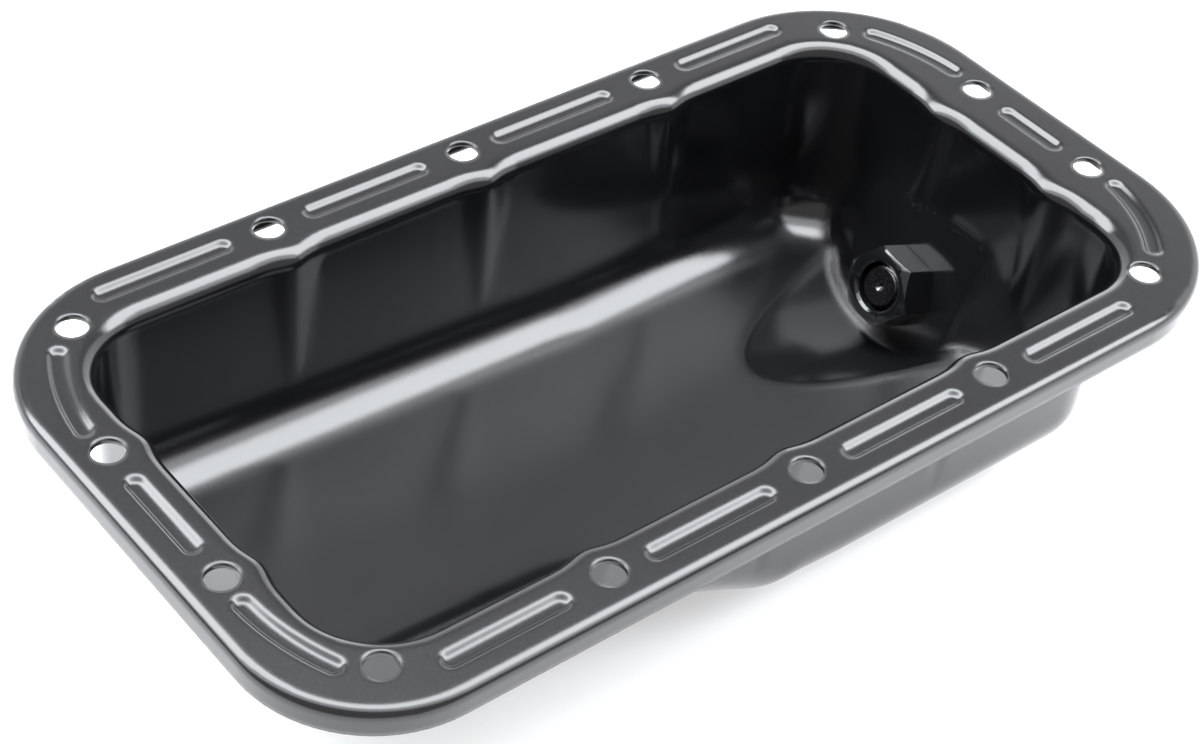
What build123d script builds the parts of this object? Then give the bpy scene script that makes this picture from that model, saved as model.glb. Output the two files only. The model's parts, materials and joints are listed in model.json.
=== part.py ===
from build123d import *
from math import cos, hypot, radians, sin, sqrt, tan
import os

# Engine oil pan: one deep-drawn steel pressing, a weld nut inside its drain pocket,
# and a drain plug with its sealing washer fitted from outside.
# Millimetres, +Z up and open upwards, +X towards the drain end, +Y towards the far side.
# The pan is drawn downwards from its flange face at z = 0 and is set on the ground at the end.

# ---- sheet, flange and lip ----
sheet = 1.2
flange_length = 258.0
flange_width = 140.0
rear_near_corner = 30.0
drain_corner = 40.0
rear_far_corner = 37.0
lip_height = 6.0
lip_bend = 2.2
wall_bend = 4.0

# ---- bowl, measured on its inner faces ----
bowl_rear = -111.7
bowl_drain = 106.2
bowl_near = -52.8
bowl_far = 52.7
bowl_corner = 18.0
wall_draft = 2.0
wall_land = 5.0
bowl_depth = 52.6
floor_slope = 3.6
floor_bend_x = 20.0
floor_bend_half = 4.0
foot_radius = 12.0

# ---- M6 bolt holes ----
bolt_hole = 7.0
far_row_y = 62.3
far_row_x = (-55.3, -2.6, 52.0)
near_row_y = -61.0
near_row_x = (-58.7, -7.3, 45.9)
rear_row_x = -120.2
rear_row_y = (-21.1, 20.1)
drain_row_x = 119.2
drain_row_y = (-21.0, 16.0)
corner_bolts = ((-107.2, 56.5), (106.5, 54.1), (100.7, -55.8), (-108.3, -55.9))

# ---- wrench clearance drawn into the wall beside each bolt, measured at its inner face ----
wrench_bite = 1.3
wrench_blend = 20.0

# ---- sealing grooves between the bolts, sized at the flange face ----
groove_width = 4.4
groove_depth = 0.9
groove_slope = 45.0
groove_edge = 0.8
far_groove_y = 62.2
near_groove_y = -61.8
rear_groove_x = -120.5
drain_groove_x = 118.6
far_groove_spans = ((-99.0, -65.0), (-46.0, -13.0), (6.0, 41.0), (62.0, 95.0))
near_groove_spans = ((-99.0, -69.0), (-50.0, -17.0), (2.0, 36.0), (56.0, 89.0))
rear_groove_span = (-13.2, 11.6)
drain_groove_span = (-12.3, 7.0)
corner_grooves = (
    ((-114.0, 50.5), (-118.7, 39.6), (-121.0, 28.0)),
    ((-120.7, -29.0), (-119.1, -40.4), (-115.4, -51.0)),
    ((113.6, 47.3), (117.9, 36.6), (119.8, 25.0)),
    ((119.3, -29.8), (115.6, -41.2), (109.1, -50.9)),
)

# ---- relief under the rear near corner ----
relief_slope = 30.0
relief_edge_x = 4.2
relief_edge_y = -18.7
relief_corner = 46.0
relief_height = 24.0
relief_blend = 18.8

# ---- drain pocket, square to the plug's axis ----
drain_x = 97.4
drain_y = 9.0
drain_drop = 47.5
drain_tilt = 22.0
pocket_half_width = 18.5
pocket_flare = 72.0
pocket_corner = 5.0
pocket_edge = 2.0
plug_clearance = 13.0

# ---- scoop that leads the last oil to the drain ----
scoop_radius = 35.0
scoop_slope = 11.7
scoop_tip_x = 48.5
scoop_length = 52.0

# ---- weld nut, plug and washer, M12 ----
thread_diameter = 12.0
thread_clearance = 0.1
nut_across_flats = 18.0
nut_height = 10.0
nut_chamfer = 17.4
nut_turn = 8.0
nut_lead_in = 0.7
washer_diameter = 22.0
washer_bore = 12.6
washer_thickness = 1.5
plug_across_flats = 17.0
plug_turn = 20.0
plug_head_height = 8.5
plug_flange_diameter = 22.5
plug_flange_height = 1.8
plug_tip_gap = 1.2
plug_tip_chamfer = 1.3
plug_dimple = 2.4


def on_edge(edge, faces):
    """True when the edge bounds any of the faces."""
    return any(edge.is_same(other) for face in faces for other in face.edges())


def rim(faces):
    """The edges that bound the faces as one patch."""
    edges = [edge for face in faces for edge in face.edges()]
    return [edge for edge in edges if sum(edge.is_same(other) for other in edges) == 1]


def drain_plane(outward):
    """A plane square to the plug's axis, its X along the axis, this far outside the inner face."""
    tilt = radians(drain_tilt)
    return Plane(
        origin=(drain_x + outward * cos(tilt), drain_y, -drain_drop - outward * sin(tilt)),
        x_dir=(0, 1, 0),
        z_dir=(cos(tilt), 0, -sin(tilt)),
    )


def axial_plane():
    """A plane through the plug's axis: X is the radius, Y the distance outside the inner face."""
    tilt = radians(drain_tilt)
    return Plane(origin=drain_plane(0).origin, x_dir=(0, 1, 0), z_dir=(-sin(tilt), 0, -cos(tilt)))


plug_axis = Axis(drain_plane(0).origin, drain_plane(0).z_dir)


def turned_end(end_radius, corner_radius, end, start):
    """The half profile, from end back to start, that takes a hexagon's end corners off at 30 degrees."""
    drop = (corner_radius - end_radius) * tan(radians(30))
    toward = 1 if end < start else -1
    return (
        (0, end),
        (end_radius, end),
        (corner_radius, end + toward * drop),
        (corner_radius, start),
        (0, start),
    )


def wrench_spots():
    """Each bolt beside a wall, with its distance from the wall's inner face."""
    spots = [(x, far_row_y, far_row_y - bowl_far) for x in far_row_x]
    spots += [(x, near_row_y, bowl_near - near_row_y) for x in near_row_x]
    spots += [(rear_row_x, y, bowl_rear - rear_row_x) for y in rear_row_y]
    spots += [(drain_row_x, y, drain_row_x - bowl_drain) for y in drain_row_y]
    return spots


def draw_form(skin):
    """The drawn shape of the bowl, filled solid: skin 0 is its outside, skin = sheet its inside."""
    inset = skin - sheet
    x_low, x_high = bowl_rear + inset, bowl_drain - inset
    y_low, y_high = bowl_near + inset, bowl_far - inset
    middle = ((x_low + x_high) / 2, (y_low + y_high) / 2)
    slope = radians(floor_slope)
    floor_z = -bowl_depth + inset
    rear_z = -bowl_depth + inset / cos(slope)
    deep = 2 * bowl_depth
    side = 1.2 * flange_length

    # relief: a block under the rear near corner, its top edges sloped inwards
    set_over = tan(radians(relief_slope / 2)) * skin
    relief_plane = Plane(
        origin=(
            relief_edge_x + set_over,
            relief_edge_y + set_over,
            rear_z + tan(slope) * (floor_bend_x - relief_edge_x - set_over),
        ),
        x_dir=(cos(slope), 0, -sin(slope)),
        z_dir=(sin(slope), 0, cos(slope)),
    )
    with BuildPart() as relief:
        with BuildSketch(relief_plane) as relief_plan:
            Rectangle(side, side, align=(Align.MAX, Align.MAX))
            inner_corner = relief_plan.vertices().sort_by_distance(relief_plane.origin)[0]
            fillet(inner_corner, relief_corner + set_over)
        extrude(amount=relief_height, taper=90 - relief_slope)
        extrude(to_extrude=relief_plan.sketch, amount=-relief_height)

    with BuildPart() as form:
        # drafted walls below an upright land
        lean = wall_land * tan(radians(wall_draft))
        with BuildSketch() as plan:
            with Locations(middle):
                Rectangle(x_high - x_low + 2 * lean, y_high - y_low + 2 * lean)
            fillet(plan.vertices(), bowl_corner - inset + lean)
        extrude(amount=-deep, taper=wall_draft)

        # floor, level at the drain end and rising to the rear
        with BuildSketch(Plane.XZ.offset(side)):
            with BuildLine():
                rear_end = -flange_length
                bend_start = floor_bend_x - floor_bend_half
                rear_line = Line(
                    (rear_end, rear_z + tan(slope) * (floor_bend_x - rear_end)),
                    (bend_start, rear_z + tan(slope) * floor_bend_half),
                )
                level_line = Line((floor_bend_x + floor_bend_half, floor_z), (flange_length, floor_z))
                TangentArc(rear_line @ 1, level_line @ 0, tangent=rear_line % 1)
                Polyline(level_line @ 1, (flange_length, -deep), (rear_end, -deep), rear_line @ 0)
            make_face()
        extrude(amount=-2 * side, mode=Mode.SUBTRACT)

        add(relief.part, mode=Mode.SUBTRACT)
        sloped = [
            face for face in form.faces().filter_by(GeomType.PLANE)
            if abs(face.normal_at(face.center()).Z + cos(slope)) < 1e-4
        ]
        rear_floor = max(sloped, key=lambda face: face.area)
        down = rear_floor.normal_at(rear_floor.center())
        relief_faces = [
            face for face in form.faces()
            if abs(face.normal_at(face.center()).dot(down) - cos(radians(relief_slope))) < 2e-3
        ]
        fillet([edge for edge in rear_floor.edges() if on_edge(edge, relief_faces)], relief_blend - inset)

        # foot radius all round the bottom
        bottom = [face for face in form.faces() if face.normal_at(face.center()).Z < -0.6]
        fillet(rim(bottom), foot_radius - inset)

        # scoop: a shallow trough that deepens towards the drain
        fall = radians(scoop_slope)
        trough_radius = scoop_radius - skin
        trough_top = scoop_radius / 2
        half_top = sqrt(trough_radius ** 2 - (scoop_radius - sheet - trough_top) ** 2)
        tip = Plane(
            origin=(scoop_tip_x, drain_y, -bowl_depth),
            x_dir=(0, 1, 0),
            z_dir=(cos(fall), 0, -sin(fall)),
        )
        with BuildSketch(tip.offset(-scoop_length / 4)):
            with BuildLine():
                ThreePointArc((-half_top, trough_top), (0, inset), (half_top, trough_top))
                Line((half_top, trough_top), (-half_top, trough_top))
            make_face()
        extrude(amount=1.25 * scoop_length)

        # pocket: a flat face square to the plug, with flared sides that run out into the end wall
        tilt = radians(drain_tilt)
        flare = radians(pocket_flare)
        half_face = pocket_half_width + inset * tan((radians(90) - flare) / 2)
        run_out = 2.5 * nut_height
        half_mouth = half_face + (run_out + inset) * tan(flare)
        up_face = Plane(
            origin=(drain_x, drain_y, -drain_drop),
            x_dir=(cos(tilt), 0, -sin(tilt)),
            z_dir=(sin(tilt), 0, cos(tilt)),
        )
        with BuildSketch(up_face.offset(-bowl_depth)) as pocket_plan:
            with BuildLine():
                Polyline(
                    (-inset, -half_face),
                    (run_out, -half_mouth),
                    (run_out, half_mouth),
                    (-inset, half_face),
                    close=True,
                )
            make_face()
            face_ends = pocket_plan.vertices().sort_by_distance(up_face.offset(-bowl_depth).origin)[:2]
            fillet(face_ends, pocket_corner + inset)
        extrude(amount=2 * bowl_depth, mode=Mode.SUBTRACT)
        pocket_faces = [
            face for face in form.faces()
            if abs(face.normal_at(face.center()).dot(up_face.z_dir)) < 1e-4
            and abs(face.center().Y - drain_y) < half_mouth
            and face.center().X > drain_x - nut_height
            and -deep < face.center().Z < -bowl_depth / 4
        ]
        fillet(rim(pocket_faces), pocket_edge - inset)

        # wrench clearances: upright, so they run out into the drafted walls lower down
        with BuildSketch() as upright:
            with Locations(middle):
                Rectangle(x_high - x_low, y_high - y_low)
            fillet(upright.vertices(), bowl_corner - inset)
            for x, y, reach in wrench_spots():
                with Locations((x, y)):
                    Circle(reach + wrench_bite + inset, mode=Mode.SUBTRACT)
            ends = [
                vertex for vertex in upright.vertices()
                for x, y, reach in wrench_spots()
                if abs(hypot(vertex.X - x, vertex.Y - y) - (reach + wrench_bite + inset)) < 1e-3
            ]
            fillet(ends, wrench_blend - inset)
        extrude(amount=-deep, mode=Mode.INTERSECT)
    return form.part


def flange_block(inset):
    """The flange filled down to the lip's edge, inset evenly from its outside."""
    with BuildPart() as block:
        with BuildSketch(Plane.XY.offset(-inset)) as outline:
            Rectangle(flange_length - 2 * inset, flange_width - 2 * inset)
            rear, drain = outline.vertices().group_by(Axis.X)
            fillet(rear.sort_by(Axis.Y)[0], rear_near_corner - inset)
            rear = outline.vertices().group_by(Axis.X)[0]
            fillet(rear.sort_by(Axis.Y)[-1], rear_far_corner - inset)
            drain = outline.vertices().group_by(Axis.X)[-1]
            fillet(drain, drain_corner - inset)
        extrude(amount=inset - lip_height)
        fillet(block.faces().sort_by(Axis.Z)[-1].edges(), lip_bend - inset)
    return block.part


def groove_blocks(offset, surface):
    """All the sealing grooves as blocks with sloped sides, below this height and wider by offset."""
    straight = [((x0 + x1) / 2, far_groove_y, x1 - x0, 0) for x0, x1 in far_groove_spans]
    straight += [((x0 + x1) / 2, near_groove_y, x1 - x0, 0) for x0, x1 in near_groove_spans]
    for x, (y0, y1) in ((rear_groove_x, rear_groove_span), (drain_groove_x, drain_groove_span)):
        straight.append((x, (y0 + y1) / 2, y1 - y0, 90))
    width = groove_width + 2 * offset
    with BuildPart() as blocks:
        with BuildSketch(Plane.XY.offset(surface)):
            for x, y, length, turn in straight:
                with Locations((x, y)):
                    SlotCenterToCenter(length - groove_width, width, rotation=turn)
            for start, middle, end in corner_grooves:
                SlotArc(ThreePointArc(start, middle, end), width)
        extrude(amount=-groove_depth, taper=groove_slope)
    return blocks.part


def wall_edges(part, height):
    """The edges at this height where the bowl's walls meet a face of the flange."""
    walls = [face for face in part.faces() if face.bounding_box().min.Z < -2 * lip_height]
    level = [edge for edge in part.edges() if abs(edge.center().Z - height) < 1e-3]
    return [edge for edge in level if on_edge(edge, walls)]


# ---- oil pan ----
with BuildPart() as pan:
    # flange with its lip turned down
    add(flange_block(0))
    add(flange_block(sheet), mode=Mode.SUBTRACT)

    # sealing grooves: each one shows as a bead on the underside
    add(groove_blocks(sheet * tan(radians(groove_slope / 2)), -sheet))
    add(groove_blocks(0, 0), mode=Mode.SUBTRACT)
    groove_bottoms = pan.faces().filter_by(Plane.XY).filter_by_position(
        Axis.Z, -1.01 * groove_depth, -0.99 * groove_depth
    )
    fillet([edge for face in groove_bottoms for edge in face.edges()], groove_edge)
    fillet(pan.faces().filter_by(Plane.XY).sort_by(Axis.Z)[-1].inner_wires().edges(), groove_edge)

    # bowl, bent down out of the flange
    add(draw_form(0))
    fillet(wall_edges(pan, -sheet), wall_bend - sheet)
    add(draw_form(sheet), mode=Mode.SUBTRACT)
    fillet(wall_edges(pan, 0), wall_bend)

    # bolt holes
    bolts = [(x, far_row_y) for x in far_row_x] + [(x, near_row_y) for x in near_row_x]
    bolts += [(rear_row_x, y) for y in rear_row_y] + [(drain_row_x, y) for y in drain_row_y]
    bolts += list(corner_bolts)
    with Locations(*bolts):
        Hole(bolt_hole / 2, depth=3 * sheet)

    # hole for the plug, square to the pocket face
    with BuildSketch(drain_plane(0)):
        Circle(plug_clearance / 2)
    extrude(amount=2 * nut_height, both=True, mode=Mode.SUBTRACT)

pan.part.label = "oil_pan"

# ---- weld nut, on the pocket's inner face ----
thread_radius = thread_diameter / 2
nut_corner = nut_across_flats / sqrt(3)
nut_face = drain_plane(-nut_height)

with BuildPart() as nut:
    with BuildSketch(nut_face):
        RegularPolygon(nut_across_flats / 2, 6, major_radius=False, rotation=nut_turn)
    extrude(amount=nut_height)
    with BuildSketch(axial_plane()):
        with BuildLine():
            Polyline(*turned_end(nut_chamfer / 2, nut_corner, -nut_height, 0), close=True)
        make_face()
    revolve(axis=plug_axis, mode=Mode.INTERSECT)
    with BuildSketch(nut_face):
        Circle(thread_radius + thread_clearance)
    extrude(amount=nut_height, mode=Mode.SUBTRACT)
    chamfer(nut.edges().filter_by(GeomType.CIRCLE).sort_by(SortBy.RADIUS)[:2], nut_lead_in)

nut.part.label = "drain_nut"

# ---- sealing washer, between the pocket's outer face and the plug ----
with BuildPart() as washer:
    with BuildSketch(drain_plane(sheet)):
        Circle(washer_diameter / 2)
        Circle(washer_bore / 2, mode=Mode.SUBTRACT)
    extrude(amount=washer_thickness)
    chamfer(washer.edges().filter_by(GeomType.CIRCLE), washer_thickness / 5)

washer.part.label = "sealing_washer"

# ---- drain plug, turned from hexagon bar ----
seat = sheet + washer_thickness
tip_end = plug_tip_gap - nut_height
head_start = seat + plug_flange_height
head_end = seat + plug_head_height
head_corner = plug_across_flats / sqrt(3)

with BuildPart() as plug:
    with BuildSketch(drain_plane(head_start)):
        RegularPolygon(plug_across_flats / 2, 6, major_radius=False, rotation=plug_turn)
    extrude(amount=head_end - head_start)
    with BuildSketch(axial_plane()):
        with BuildLine():
            Polyline(*turned_end(plug_across_flats / 2, head_corner, head_end, head_start), close=True)
        make_face()
    revolve(axis=plug_axis, mode=Mode.INTERSECT)
    with BuildSketch(axial_plane()):
        with BuildLine():
            Polyline(
                (0, tip_end + plug_dimple / 2),
                (plug_dimple / 2, tip_end),
                (thread_radius - plug_tip_chamfer, tip_end),
                (thread_radius, tip_end + plug_tip_chamfer),
                (thread_radius, seat),
                (plug_flange_diameter / 2, seat),
                (plug_flange_diameter / 2, head_start - plug_flange_height / 2),
                (head_corner, head_start),
                (0, head_start),
                close=True,
            )
        make_face()
    revolve(axis=plug_axis)

plug.part.label = "drain_plug"

# ---- the pan stands on the bottom of its scoop ----
ground = pan.part.bounding_box().min.Z
os.makedirs("parts", exist_ok=True)
for piece in (pan.part, nut.part, washer.part, plug.part):
    export_step(piece.moved(Location((0, 0, -ground))), "parts/" + piece.label + ".step")
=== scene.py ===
"""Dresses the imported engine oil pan: finishes, drain thread, studio light and camera."""

import json
import logging
import math
from dataclasses import dataclass
from enum import Enum

import bpy
from mathutils import Matrix, Vector


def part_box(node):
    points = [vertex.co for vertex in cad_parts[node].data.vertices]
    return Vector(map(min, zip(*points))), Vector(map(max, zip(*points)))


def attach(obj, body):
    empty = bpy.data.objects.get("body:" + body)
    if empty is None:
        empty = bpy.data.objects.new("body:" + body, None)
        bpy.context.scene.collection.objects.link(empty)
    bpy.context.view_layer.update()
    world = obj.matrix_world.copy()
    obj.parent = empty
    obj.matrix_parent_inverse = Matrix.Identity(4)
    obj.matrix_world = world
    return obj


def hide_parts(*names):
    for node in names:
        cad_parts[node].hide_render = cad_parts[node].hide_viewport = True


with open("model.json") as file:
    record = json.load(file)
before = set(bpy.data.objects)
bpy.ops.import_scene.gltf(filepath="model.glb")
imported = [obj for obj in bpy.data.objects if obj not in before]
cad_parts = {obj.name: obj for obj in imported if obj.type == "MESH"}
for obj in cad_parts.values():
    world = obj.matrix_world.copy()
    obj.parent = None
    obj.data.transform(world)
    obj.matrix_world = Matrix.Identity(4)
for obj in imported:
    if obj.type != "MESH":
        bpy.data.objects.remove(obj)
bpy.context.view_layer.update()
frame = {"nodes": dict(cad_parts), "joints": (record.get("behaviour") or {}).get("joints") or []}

LOG = logging.getLogger("oil_pan")
MM = 0.001
SMOOTH_BELOW = math.radians(30.0)
STEPS_PER_TURN = 96
COPY_WELD = 0.001 * MM
WOUND_WELD = 0.0001 * MM


@dataclass(frozen=True)
class Noise:
    """One layer of procedural noise in object space.

    Args:
        scale: Features per metre.
        detail: Octaves of finer noise.
        stretch: Scale of the pattern along each axis.
    """

    scale: float
    detail: float = 4.0
    stretch: tuple[float, float, float] = (1.0, 1.0, 1.0)

    def add(self, tree: bpy.types.NodeTree) -> bpy.types.NodeSocket:
        """Adds the noise to a node tree.

        Args:
            tree: The material's node tree.

        Returns:
            The noise's factor socket.
        """
        coords = tree.nodes.new("ShaderNodeTexCoord")
        mapping = tree.nodes.new("ShaderNodeMapping")
        mapping.inputs["Scale"].default_value = self.stretch
        noise = tree.nodes.new("ShaderNodeTexNoise")
        noise.inputs["Scale"].default_value = self.scale
        noise.inputs["Detail"].default_value = self.detail
        tree.links.new(coords.outputs["Object"], mapping.inputs["Vector"])
        tree.links.new(mapping.outputs["Vector"], noise.inputs["Vector"])
        return noise.outputs["Fac"]


def ramp(
    tree: bpy.types.NodeTree,
    source: bpy.types.NodeSocket,
    low: float,
    high: float,
    from_low: float = 0.3,
    from_high: float = 0.7,
) -> bpy.types.NodeSocket:
    """Maps a factor onto a range of values.

    Args:
        tree: The material's node tree.
        source: The socket to map.
        low: Value given at from_low.
        high: Value given at from_high.
        from_low: Source value that gives low.
        from_high: Source value that gives high.

    Returns:
        The mapped socket.
    """
    node = tree.nodes.new("ShaderNodeMapRange")
    node.inputs["From Min"].default_value = from_low
    node.inputs["From Max"].default_value = from_high
    node.inputs["To Min"].default_value = low
    node.inputs["To Max"].default_value = high
    tree.links.new(source, node.inputs["Value"])
    return node.outputs["Result"]


def mix_colours(
    tree: bpy.types.NodeTree,
    factor: bpy.types.NodeSocket,
    first: tuple[float, float, float],
    second: tuple[float, float, float],
) -> bpy.types.NodeSocket:
    """Blends two colours by a factor.

    Args:
        tree: The material's node tree.
        factor: The socket that picks between them.
        first: Colour at factor 0.
        second: Colour at factor 1.

    Returns:
        The blended colour's socket.
    """
    node = tree.nodes.new("ShaderNodeMix")
    node.data_type = "RGBA"
    node.inputs["A"].default_value = (*first, 1.0)
    node.inputs["B"].default_value = (*second, 1.0)
    tree.links.new(factor, node.inputs["Factor"])
    return node.outputs["Result"]


def bump(
    tree: bpy.types.NodeTree,
    height: bpy.types.NodeSocket,
    distance: float,
    under: bpy.types.NodeSocket | None = None,
) -> bpy.types.NodeSocket:
    """Turns a height into a bumped normal.

    Args:
        tree: The material's node tree.
        height: Height socket, 0 to 1.
        distance: Height of the relief in metres.
        under: A normal to lay this one over.

    Returns:
        The normal's socket.
    """
    node = tree.nodes.new("ShaderNodeBump")
    node.inputs["Distance"].default_value = distance
    tree.links.new(height, node.inputs["Height"])
    if under is not None:
        tree.links.new(under, node.inputs["Normal"])
    return node.outputs["Normal"]


@dataclass(frozen=True)
class BlackCoating:
    """Glossy black coating that has flowed over steel, with dust settled on its level faces.

    Args:
        name: Material name.
        soften: Radius in metres that pressed creases are rounded to.
        soften_below: Height in metres under which creases are rounded that far.
        soften_above: Radius in metres that edges are rounded to above it.
        dark: Colour of the coating in its darker patches.
        light: Colour in its lighter patches.
        gloss: Roughness where the coating is smoothest.
        dull: Roughness where it is most matt.
        settled: Roughness that settled dust adds to level faces.
        ior: Index of refraction of the coating.
        peel: Height of the orange peel in metres.
        grain: Height of the fine grain in metres.
        drawing: Height in metres of the marks that drawing left down the walls.
        patches: Pattern of darker and lighter areas.
        dimples: Pattern of the orange peel.
        drag: Pattern of the marks down the walls.
        speckle: Pattern of the fine grain.
        level_from: Upward share of a face's normal above which dust starts to settle.
        level_to: Upward share at which it has settled fully.
        soften_samples: Samples taken to round a crease.
    """

    name: str
    soften: float
    soften_below: float
    soften_above: float = 1.5 * MM
    dark: tuple[float, float, float] = (0.0014, 0.0015, 0.0017)
    light: tuple[float, float, float] = (0.0030, 0.0032, 0.0034)
    gloss: float = 0.10
    dull: float = 0.17
    settled: float = 0.08
    ior: float = 1.5
    peel: float = 0.004 * MM
    grain: float = 0.003 * MM
    drawing: float = 0.05 * MM
    patches: Noise = Noise(scale=22.0, detail=3.0)
    dimples: Noise = Noise(scale=320.0, detail=2.0)
    drag: Noise = Noise(scale=60.0, detail=2.0, stretch=(1.0, 1.0, 0.08))
    speckle: Noise = Noise(scale=3200.0, detail=2.0)
    level_from: float = 0.97
    level_to: float = 0.995
    soften_samples: int = 8

    def softened(self, tree: bpy.types.NodeTree) -> bpy.types.NodeSocket:
        """Rounds the pressed creases and the edges.

        Args:
            tree: The material's node tree.

        Returns:
            The rounded normal's socket.
        """
        coords = tree.nodes.new("ShaderNodeTexCoord")
        height = tree.nodes.new("ShaderNodeSeparateXYZ")
        round_off = tree.nodes.new("ShaderNodeBevel")
        round_off.samples = self.soften_samples
        tree.links.new(coords.outputs["Object"], height.inputs["Vector"])
        radius = ramp(
            tree,
            height.outputs["Z"],
            self.soften,
            self.soften_above,
            from_low=self.soften_below - self.soften,
            from_high=self.soften_below,
        )
        tree.links.new(radius, round_off.inputs["Radius"])
        return round_off.outputs["Normal"]

    def level(self, tree: bpy.types.NodeTree) -> bpy.types.NodeSocket:
        """Finds the level faces.

        Args:
            tree: The material's node tree.

        Returns:
            A factor that is 1 on level faces and 0 on the rest.
        """
        geometry = tree.nodes.new("ShaderNodeNewGeometry")
        facing = tree.nodes.new("ShaderNodeSeparateXYZ")
        tree.links.new(geometry.outputs["Normal"], facing.inputs["Vector"])
        return ramp(tree, facing.outputs["Z"], 0.0, 1.0, self.level_from, self.level_to)

    def material(self) -> bpy.types.Material:
        """Builds the material.

        Returns:
            The finished material.
        """
        made = bpy.data.materials.new(self.name)
        made.use_nodes = True
        tree = made.node_tree
        shader = tree.nodes["Principled BSDF"]
        shader.inputs["IOR"].default_value = self.ior
        cloud = self.patches.add(tree)
        fine = self.speckle.add(tree)
        pits = self.dimples.add(tree)
        marks = self.drag.add(tree)
        tree.links.new(
            mix_colours(tree, ramp(tree, cloud, 0.0, 1.0), self.dark, self.light),
            shader.inputs["Base Color"],
        )
        dust = tree.nodes.new("ShaderNodeMath")
        dust.operation = "MULTIPLY_ADD"
        dust.inputs[1].default_value = self.settled
        tree.links.new(self.level(tree), dust.inputs[0])
        tree.links.new(ramp(tree, fine, self.gloss, self.dull), dust.inputs[2])
        tree.links.new(dust.outputs["Value"], shader.inputs["Roughness"])
        drawn = bump(tree, marks, self.drawing, under=self.softened(tree))
        flowed = bump(tree, pits, self.peel, under=drawn)
        tree.links.new(bump(tree, fine, self.grain, under=flowed), shader.inputs["Normal"])
        return made


@dataclass(frozen=True)
class PlatedSteel:
    """Plated metal with a fine grain and dulled patches.

    Args:
        name: Material name.
        bright: Colour where the plating is clean.
        dull: Colour where it has dulled.
        smooth: Roughness where the grain is smoothest.
        rough: Roughness where it is roughest.
        relief: Height of the grain in metres.
        patches: Pattern of the dulled areas.
        grain: Pattern of the grain.
    """

    name: str
    bright: tuple[float, float, float]
    dull: tuple[float, float, float]
    smooth: float = 0.18
    rough: float = 0.32
    relief: float = 0.003 * MM
    patches: Noise = Noise(scale=180.0, detail=5.0)
    grain: Noise = Noise(scale=1600.0, detail=3.0)

    def material(self) -> bpy.types.Material:
        """Builds the material.

        Returns:
            The finished material.
        """
        made = bpy.data.materials.new(self.name)
        made.use_nodes = True
        tree = made.node_tree
        shader = tree.nodes["Principled BSDF"]
        shader.inputs["Metallic"].default_value = 1.0
        patches = self.patches.add(tree)
        grain = self.grain.add(tree)
        tree.links.new(
            mix_colours(tree, ramp(tree, patches, 0.0, 1.0), self.dull, self.bright),
            shader.inputs["Base Color"],
        )
        tree.links.new(ramp(tree, grain, self.smooth, self.rough), shader.inputs["Roughness"])
        tree.links.new(bump(tree, grain, self.relief), shader.inputs["Normal"])
        return made


@dataclass(frozen=True)
class StudioPaper:
    """White light-table paper that the pan stands on.

    Args:
        name: Material name.
        colour: Colour of the paper.
        glow: Light that comes up through it.
        roughness: How matt it is.
        shine: Strength of its reflections.
    """

    name: str = "studio_paper"
    colour: tuple[float, float, float] = (0.5, 0.5, 0.5)
    glow: float = 0.42
    roughness: float = 0.9
    shine: float = 0.1

    def material(self) -> bpy.types.Material:
        """Builds the material.

        Returns:
            The finished material.
        """
        made = bpy.data.materials.new(self.name)
        made.use_nodes = True
        tree = made.node_tree
        shader = tree.nodes["Principled BSDF"]
        shader.inputs["Base Color"].default_value = (*self.colour, 1.0)
        shader.inputs["Roughness"].default_value = self.roughness
        shader.inputs["Specular IOR Level"].default_value = self.shine
        shader.inputs["Emission Color"].default_value = (1.0, 1.0, 1.0, 1.0)
        shader.inputs["Emission Strength"].default_value = self.glow
        return made


def dress(node: str, material: bpy.types.Material) -> None:
    """Gives a CAD node its finish.

    Args:
        node: The node's name.
        material: The finish.
    """
    for place in frame["nodes"][node].material_slots:
        place.material = material
    LOG.info("%s wears %s", node, material.name)


def pick(piece: bpy.types.Object) -> None:
    """Makes a piece the only one that is selected, and the active one.

    Args:
        piece: The piece.
    """
    bpy.ops.object.select_all(action="DESELECT")
    piece.select_set(True)
    bpy.context.view_layer.objects.active = piece


def copy_of(node: str, name: str) -> bpy.types.Object:
    """Copies a CAD node's mesh as one merged piece.

    Args:
        node: The node's name.
        name: Name of the piece.

    Returns:
        The new piece, at the origin of the frame.
    """
    source = frame["nodes"][node]
    piece = bpy.data.objects.new(name, source.data.copy())
    bpy.context.scene.collection.objects.link(piece)
    piece.matrix_world = source.matrix_world
    piece.data.materials.clear()
    pick(piece)
    bpy.ops.object.transform_apply(location=True, rotation=True, scale=True)
    bpy.ops.mesh.customdata_custom_splitnormals_clear()
    bpy.ops.object.mode_set(mode="EDIT")
    bpy.ops.mesh.select_all(action="SELECT")
    bpy.ops.mesh.remove_doubles(threshold=COPY_WELD)
    bpy.ops.mesh.normals_make_consistent(inside=False)
    bpy.ops.object.mode_set(mode="OBJECT")
    return piece


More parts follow.
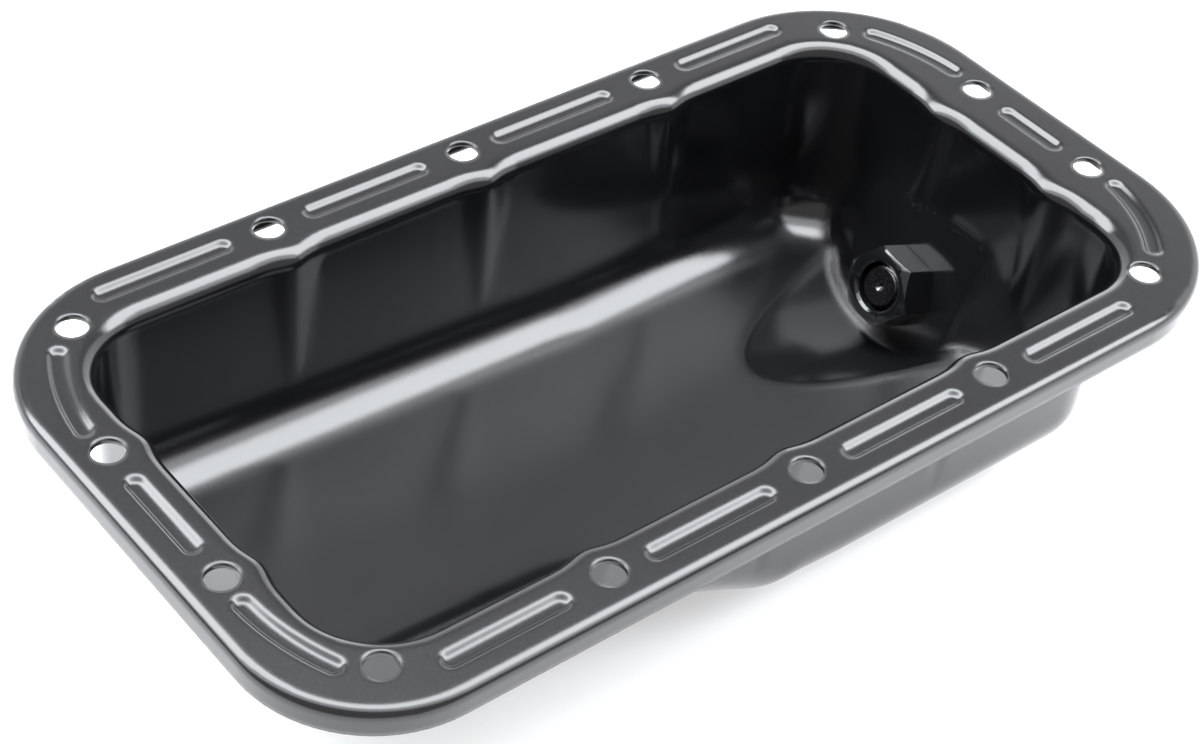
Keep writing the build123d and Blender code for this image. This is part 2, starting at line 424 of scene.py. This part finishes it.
def wound(
    name: str,
    outline: list[tuple[float, float]],
    placement: Matrix,
    pitch: float = 0.0,
    turns: int = 1,
) -> bpy.types.Object:
    """Winds a closed outline round an axis, as a ring or as a helix.

    Args:
        name: Name of the piece.
        outline: Points as radius and distance along the axis.
        placement: The axis as the Z of a matrix.
        pitch: Rise for each turn.
        turns: How many turns.

    Returns:
        The closed piece.
    """
    bpy.ops.object.select_all(action="DESELECT")
    bpy.ops.mesh.primitive_circle_add(vertices=len(outline), radius=outline[0][0], fill_type="NOTHING")
    piece = bpy.context.active_object
    piece.name = name
    for corner, (radius, along) in zip(piece.data.vertices, outline):
        corner.co = (radius, 0.0, along)
    wind = piece.modifiers.new("wind", "SCREW")
    wind.axis = "Z"
    wind.steps = wind.render_steps = STEPS_PER_TURN
    wind.screw_offset = pitch
    wind.iterations = turns
    wind.use_merge_vertices = pitch == 0.0
    bpy.ops.object.modifier_apply(modifier=wind.name)
    bpy.ops.object.mode_set(mode="EDIT")
    bpy.ops.mesh.select_all(action="SELECT")
    bpy.ops.mesh.remove_doubles(threshold=WOUND_WELD)
    bpy.ops.mesh.fill_holes(sides=0)
    bpy.ops.mesh.normals_make_consistent(inside=False)
    bpy.ops.object.mode_set(mode="OBJECT")
    piece.matrix_world = placement
    bpy.ops.object.transform_apply(location=True, rotation=True, scale=True)
    return piece


def cut(piece: bpy.types.Object, cutter: bpy.types.Object) -> None:
    """Cuts one piece out of another and deletes the cutter.

    Args:
        piece: The piece that is cut.
        cutter: The piece that is taken away.
    """
    pick(piece)
    away = piece.modifiers.new("away", "BOOLEAN")
    away.operation = "DIFFERENCE"
    away.solver = "EXACT"
    away.object = cutter
    bpy.ops.object.modifier_apply(modifier=away.name)
    bpy.data.objects.remove(cutter, do_unlink=True)


def finish_piece(piece: bpy.types.Object, material: bpy.types.Material) -> None:
    """Shades a piece and gives it its material.

    Args:
        piece: The piece.
        material: Its finish.
    """
    pick(piece)
    bpy.ops.object.shade_smooth_by_angle(angle=SMOOTH_BELOW)
    piece.data.materials.clear()
    piece.data.materials.append(material)
    LOG.info("%s has %d faces", piece.name, len(piece.data.polygons))


@dataclass
class PressedPan:
    """The finishes of the pressing and of the washer on its drain pocket.

    Args:
        flange_top: Height of the flange face.
        crease: Radius that the bowl's creases are rounded to.
        flange_zone: Depth under the flange face in which edges keep their own smaller radius.
    """

    flange_top: float
    crease: float = 5.0 * MM
    flange_zone: float = 7.5 * MM

    def build(self) -> None:
        """Gives the pressing and the washer their finishes."""
        coating = BlackCoating("pan_coating", self.crease, self.flange_top - self.flange_zone)
        washer = PlatedSteel("washer_aluminium", bright=(0.80, 0.80, 0.79), dull=(0.60, 0.60, 0.60))
        dress("oil_pan", coating.material())
        dress("sealing_washer", washer.material())


@dataclass
class DrainThread:
    """The M12 thread of the drain plug and its nut, cut in step with each other.

    Distances along the axis are counted outwards from the pan's inner face.

    Args:
        pitch: Rise of one turn.
        crest: Radius of the plug's thread over its crests.
        root: Radius of the plug's thread in its roots.
        nut_crest: Radius over the nut's inner crests.
        nut_root: Radius in the nut's roots.
        flank_gap: Clearance between the flanks.
        start: Where the plug's groove starts.
        plug_turns: Turns of the plug's groove.
        nut_inner: Where the nut's thread starts.
        nut_outer: Where it ends, by the pan's sheet.
        sleeve: Radius at which the nut's thread grows out of its bore.
        flank: Slope of the thread's flanks.
        overshoot: How far the plug's groove is cut past its crests.
        inner_gap: How far inside the plug's root the nut's groove starts.
        nut_edge: Radius that the nut's edges are rounded to.
    """

    pitch: float = 1.75 * MM
    crest: float = 6.0 * MM
    root: float = 4.93 * MM
    nut_crest: float = 5.15 * MM
    nut_root: float = 6.05 * MM
    flank_gap: float = 0.04 * MM
    start: float = -10.55 * MM
    plug_turns: int = 7
    nut_inner: float = -9.3 * MM
    nut_outer: float = -0.2 * MM
    sleeve: float = 6.2 * MM
    flank: float = math.radians(30.0)
    overshoot: float = 0.3 * MM
    inner_gap: float = 0.03 * MM
    nut_edge: float = 0.5 * MM

    def placement(self) -> Matrix:
        """Finds the plug's axis from the frame's joint.

        Returns:
            A placement with its Z outwards along the axis.
        """
        joint = next(joint for joint in frame["joints"] if joint["name"] == "plug_turn")
        along = Vector(joint["axis"]).normalized()
        across = Vector((0.0, 1.0, 0.0))
        turn = Matrix((across, along.cross(across), along)).transposed().to_4x4()
        return Matrix.Translation(Vector(joint["pos_m"])) @ turn

    def ridge(self, radius: float) -> float:
        """Half the plug ridge's width at a radius, with a crest an eighth of the pitch wide."""
        return self.pitch / 16.0 + (self.crest - radius) * math.tan(self.flank)

    def build_plug(self, material: bpy.types.Material) -> None:
        """Cuts the thread into the plug.

        Args:
            material: The plug's finish.
        """
        half = self.pitch / 2.0
        over = self.crest + self.overshoot
        groove = [
            (self.root, self.start - half + self.ridge(self.root)),
            (self.root, self.start + half - self.ridge(self.root)),
            (self.crest, self.start + half - self.ridge(self.crest)),
            (over, self.start + half - self.ridge(self.crest)),
            (over, self.start - half + self.ridge(self.crest)),
            (self.crest, self.start - half + self.ridge(self.crest)),
        ]
        plug = copy_of("drain_plug", "threaded_plug")
        cut(plug, wound("plug_groove", groove, self.placement(), self.pitch, self.plug_turns))
        finish_piece(plug, material)
        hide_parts("drain_plug")
        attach(plug, "plug_body")

    def build_nut(self, material: bpy.types.Material) -> None:
        """Grows the thread inside the nut's bore.

        Args:
            material: The nut's finish.
        """
        lead = self.sleeve - self.nut_crest
        ring = [
            (self.sleeve, self.nut_inner),
            (self.nut_crest, self.nut_inner + lead),
            (self.nut_crest, self.nut_outer - lead),
            (self.sleeve, self.nut_outer),
        ]
        start = self.start - self.pitch / 2.0
        inner = self.root - self.inner_gap
        low = self.ridge(inner) + self.flank_gap
        high = self.ridge(self.nut_root) + self.flank_gap
        groove = [
            (inner, start - low),
            (inner, start + low),
            (self.nut_root, start + high),
            (self.nut_root, start - high),
        ]
        thread = wound("nut_thread", ring, self.placement())
        cut(thread, wound("nut_groove", groove, self.placement(), self.pitch, self.plug_turns + 1))
        nut = copy_of("drain_nut", "threaded_nut")
        thread.select_set(True)
        bpy.ops.object.join()
        finish_piece(nut, material)
        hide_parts("drain_nut")
        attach(nut, "pan_body")

    def build(self, flange_top: float) -> None:
        """Builds the threaded nut and plug.

        Args:
            flange_top: Height of the flange face, under which the whole nut lies.
        """
        coating = BlackCoating(
            "nut_coating",
            soften=self.nut_edge,
            soften_below=flange_top,
            soften_above=self.nut_edge,
            gloss=0.05,
            dull=0.10,
            settled=0.0,
        )
        zinc = PlatedSteel("black_zinc", bright=(0.10, 0.10, 0.105), dull=(0.05, 0.05, 0.052))
        self.build_nut(coating.material())
        self.build_plug(zinc.material())


class Facing(Enum):
    """The way an upright light faces, as its turn about Z in radians."""

    NEAR_SIDE = math.radians(180.0)
    REAR = math.radians(90.0)


@dataclass
class SoftBox:
    """A rectangular soft light of even brightness.

    Args:
        name: Light name.
        place: Position in metres.
        width: Size across, in metres.
        height: Size up, in metres.
        brightness: Radiance of its face.
        tilt: Turn about X in radians, from facing down.
        heading: Turn about Z in radians.
        tint: Colour of its light.
    """

    name: str
    place: tuple[float, float, float]
    width: float
    height: float
    brightness: float
    tilt: float = 0.0
    heading: float = 0.0
    tint: tuple[float, float, float] = (0.94, 0.97, 1.0)

    def build(self) -> None:
        """Adds the light to the scene."""
        data = bpy.data.lights.new(self.name, "AREA")
        data.shape = "RECTANGLE"
        data.size = self.width
        data.size_y = self.height
        data.energy = self.brightness * math.pi * self.width * self.height
        data.color = self.tint
        light = bpy.data.objects.new(self.name, data)
        light.location = self.place
        light.rotation_euler = (self.tilt, 0.0, self.heading)
        bpy.context.scene.collection.objects.link(light)
        LOG.info("light %s", self.name)


@dataclass
class Studio:
    """Light table, soft lights, a pale surround and the camera.

    Args:
        flange_top: Height of the flange face, which the camera is placed from.
        eye: Camera position over the middle of the flange.
        right: Camera's right.
        up: Camera's up.
        back: Direction from the pan back to the camera.
        lens: Focal length in millimetres.
        sensor: Sensor width in millimetres.
        nearest: Distance from which the camera sees.
        floor_half: Half the paper's side.
        surround: Brightness all round.
        ceiling: Height of the overhead lights.
        core_ahead: Reach of the brighter overhead light away from the camera, from and to.
        core_aside: Its reach to the camera's right, from and to.
        core_brightness: Its radiance.
        edge_ahead: Reach of the dimmer overhead light round it, away from the camera.
        edge_aside: Its reach to the camera's right.
        edge_brightness: Its radiance.
        wall_distance: Distance of the upright lights.
        wall_height: Height of the upright lights.
        wall_width: Width of the upright lights.
        far_brightness: Radiance of the upright light behind the pan.
        right_brightness: Radiance of the upright light beyond the drain.
    """

    flange_top: float
    eye: tuple[float, float, float] = (-0.29488, -0.30379, 0.34591)
    right: tuple[float, float, float] = (0.77677, -0.62373, 0.08718)
    up: tuple[float, float, float] = (0.36234, 0.55582, 0.74819)
    back: tuple[float, float, float] = (-0.51512, -0.54957, 0.65774)
    lens: float = 75.82
    sensor: float = 36.0
    nearest: float = 20.0 * MM
    floor_half: float = 6.0
    surround: float = 0.8
    ceiling: float = 1.3
    core_ahead: tuple[float, float] = (-0.16, 0.66)
    core_aside: tuple[float, float] = (-3.25, 2.21)
    core_brightness: float = 16.0
    edge_ahead: tuple[float, float] = (-0.75, 0.76)
    edge_aside: tuple[float, float] = (-3.51, 2.60)
    edge_brightness: float = 5.0
    wall_distance: float = 1.5
    wall_height: float = 1.05
    wall_width: float = 4.0
    far_brightness: float = 1.5
    right_brightness: float = 2.0

    def overhead(
        self, name: str, ahead: tuple[float, float], aside: tuple[float, float], brightness: float
    ) -> SoftBox:
        """Lays out a ceiling light in line with the camera.

        Args:
            name: Light name.
            ahead: Its reach away from the camera, from and to.
            aside: Its reach to the camera's right, from and to.
            brightness: Radiance of its face.

        Returns:
            The light.
        """
        forward = -Vector(self.back[:2]).normalized()
        side = Vector((forward.y, -forward.x))
        middle = forward * sum(ahead) / 2.0 + side * sum(aside) / 2.0
        return SoftBox(
            name,
            (middle.x, middle.y, self.ceiling),
            aside[1] - aside[0],
            ahead[1] - ahead[0],
            brightness,
            heading=math.atan2(side.y, side.x),
        )

    def upright(
        self, name: str, place: tuple[float, float], facing: Facing, brightness: float
    ) -> SoftBox:
        """Lays out a light that stands on the floor.

        Args:
            name: Light name.
            place: Its place on the floor.
            facing: The way it faces.
            brightness: Radiance of its face.

        Returns:
            The light.
        """
        return SoftBox(
            name,
            (*place, self.wall_height / 2.0),
            self.wall_width,
            self.wall_height,
            brightness,
            tilt=math.radians(90.0),
            heading=facing.value,
        )

    def lights(self) -> list[SoftBox]:
        """Lists the lights.

        Returns:
            Two ceiling lights, one over the other, and two upright ones.
        """
        return [
            self.overhead("overhead_core", self.core_ahead, self.core_aside, self.core_brightness),
            self.overhead("overhead_edge", self.edge_ahead, self.edge_aside, self.edge_brightness),
            self.upright("wall_far", (0.0, self.wall_distance), Facing.NEAR_SIDE, self.far_brightness),
            self.upright("wall_right", (self.wall_distance, 0.0), Facing.REAR, self.right_brightness),
        ]

    def floor(self) -> None:
        """Lays the paper under the pan."""
        bpy.ops.object.select_all(action="DESELECT")
        bpy.ops.mesh.primitive_plane_add(size=2 * self.floor_half, location=(0.0, 0.0, 0.0))
        paper = bpy.context.active_object
        paper.name = "studio_floor"
        paper.data.materials.append(StudioPaper().material())
        LOG.info("%s lies under the pan", paper.name)

    def world(self) -> None:
        """Surrounds the scene with an even pale light."""
        world = bpy.data.worlds.new("studio_world")
        world.use_nodes = True
        background = world.node_tree.nodes["Background"]
        background.inputs["Color"].default_value = (1.0, 1.0, 1.0, 1.0)
        background.inputs["Strength"].default_value = self.surround
        bpy.context.scene.world = world

    def camera(self) -> None:
        """Adds the camera."""
        data = bpy.data.cameras.new("camera")
        data.lens = self.lens
        data.sensor_width = self.sensor
        data.sensor_fit = "HORIZONTAL"
        data.clip_start = self.nearest
        data.dof.use_dof = False
        camera = bpy.data.objects.new("camera", data)
        turn = Matrix((self.right, self.up, self.back)).transposed().to_4x4()
        place = Vector(self.eye) + Vector((0.0, 0.0, self.flange_top))
        camera.matrix_world = Matrix.Translation(place) @ turn
        bpy.context.scene.collection.objects.link(camera)
        bpy.context.scene.camera = camera

    def build(self) -> None:
        """Builds the whole studio."""
        self.floor()
        self.world()
        for light in self.lights():
            light.build()
        self.camera()
        bpy.context.scene.view_settings.view_transform = "Standard"


def main() -> None:
    """Dresses the pan, cuts the drain's thread and lights the scene."""
    logging.basicConfig(level=logging.INFO)
    flange_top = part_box("oil_pan")[1].z
    PressedPan(flange_top).build()
    DrainThread().build(flange_top)
    Studio(flange_top).build()


if __name__ == "__main__":
    main()
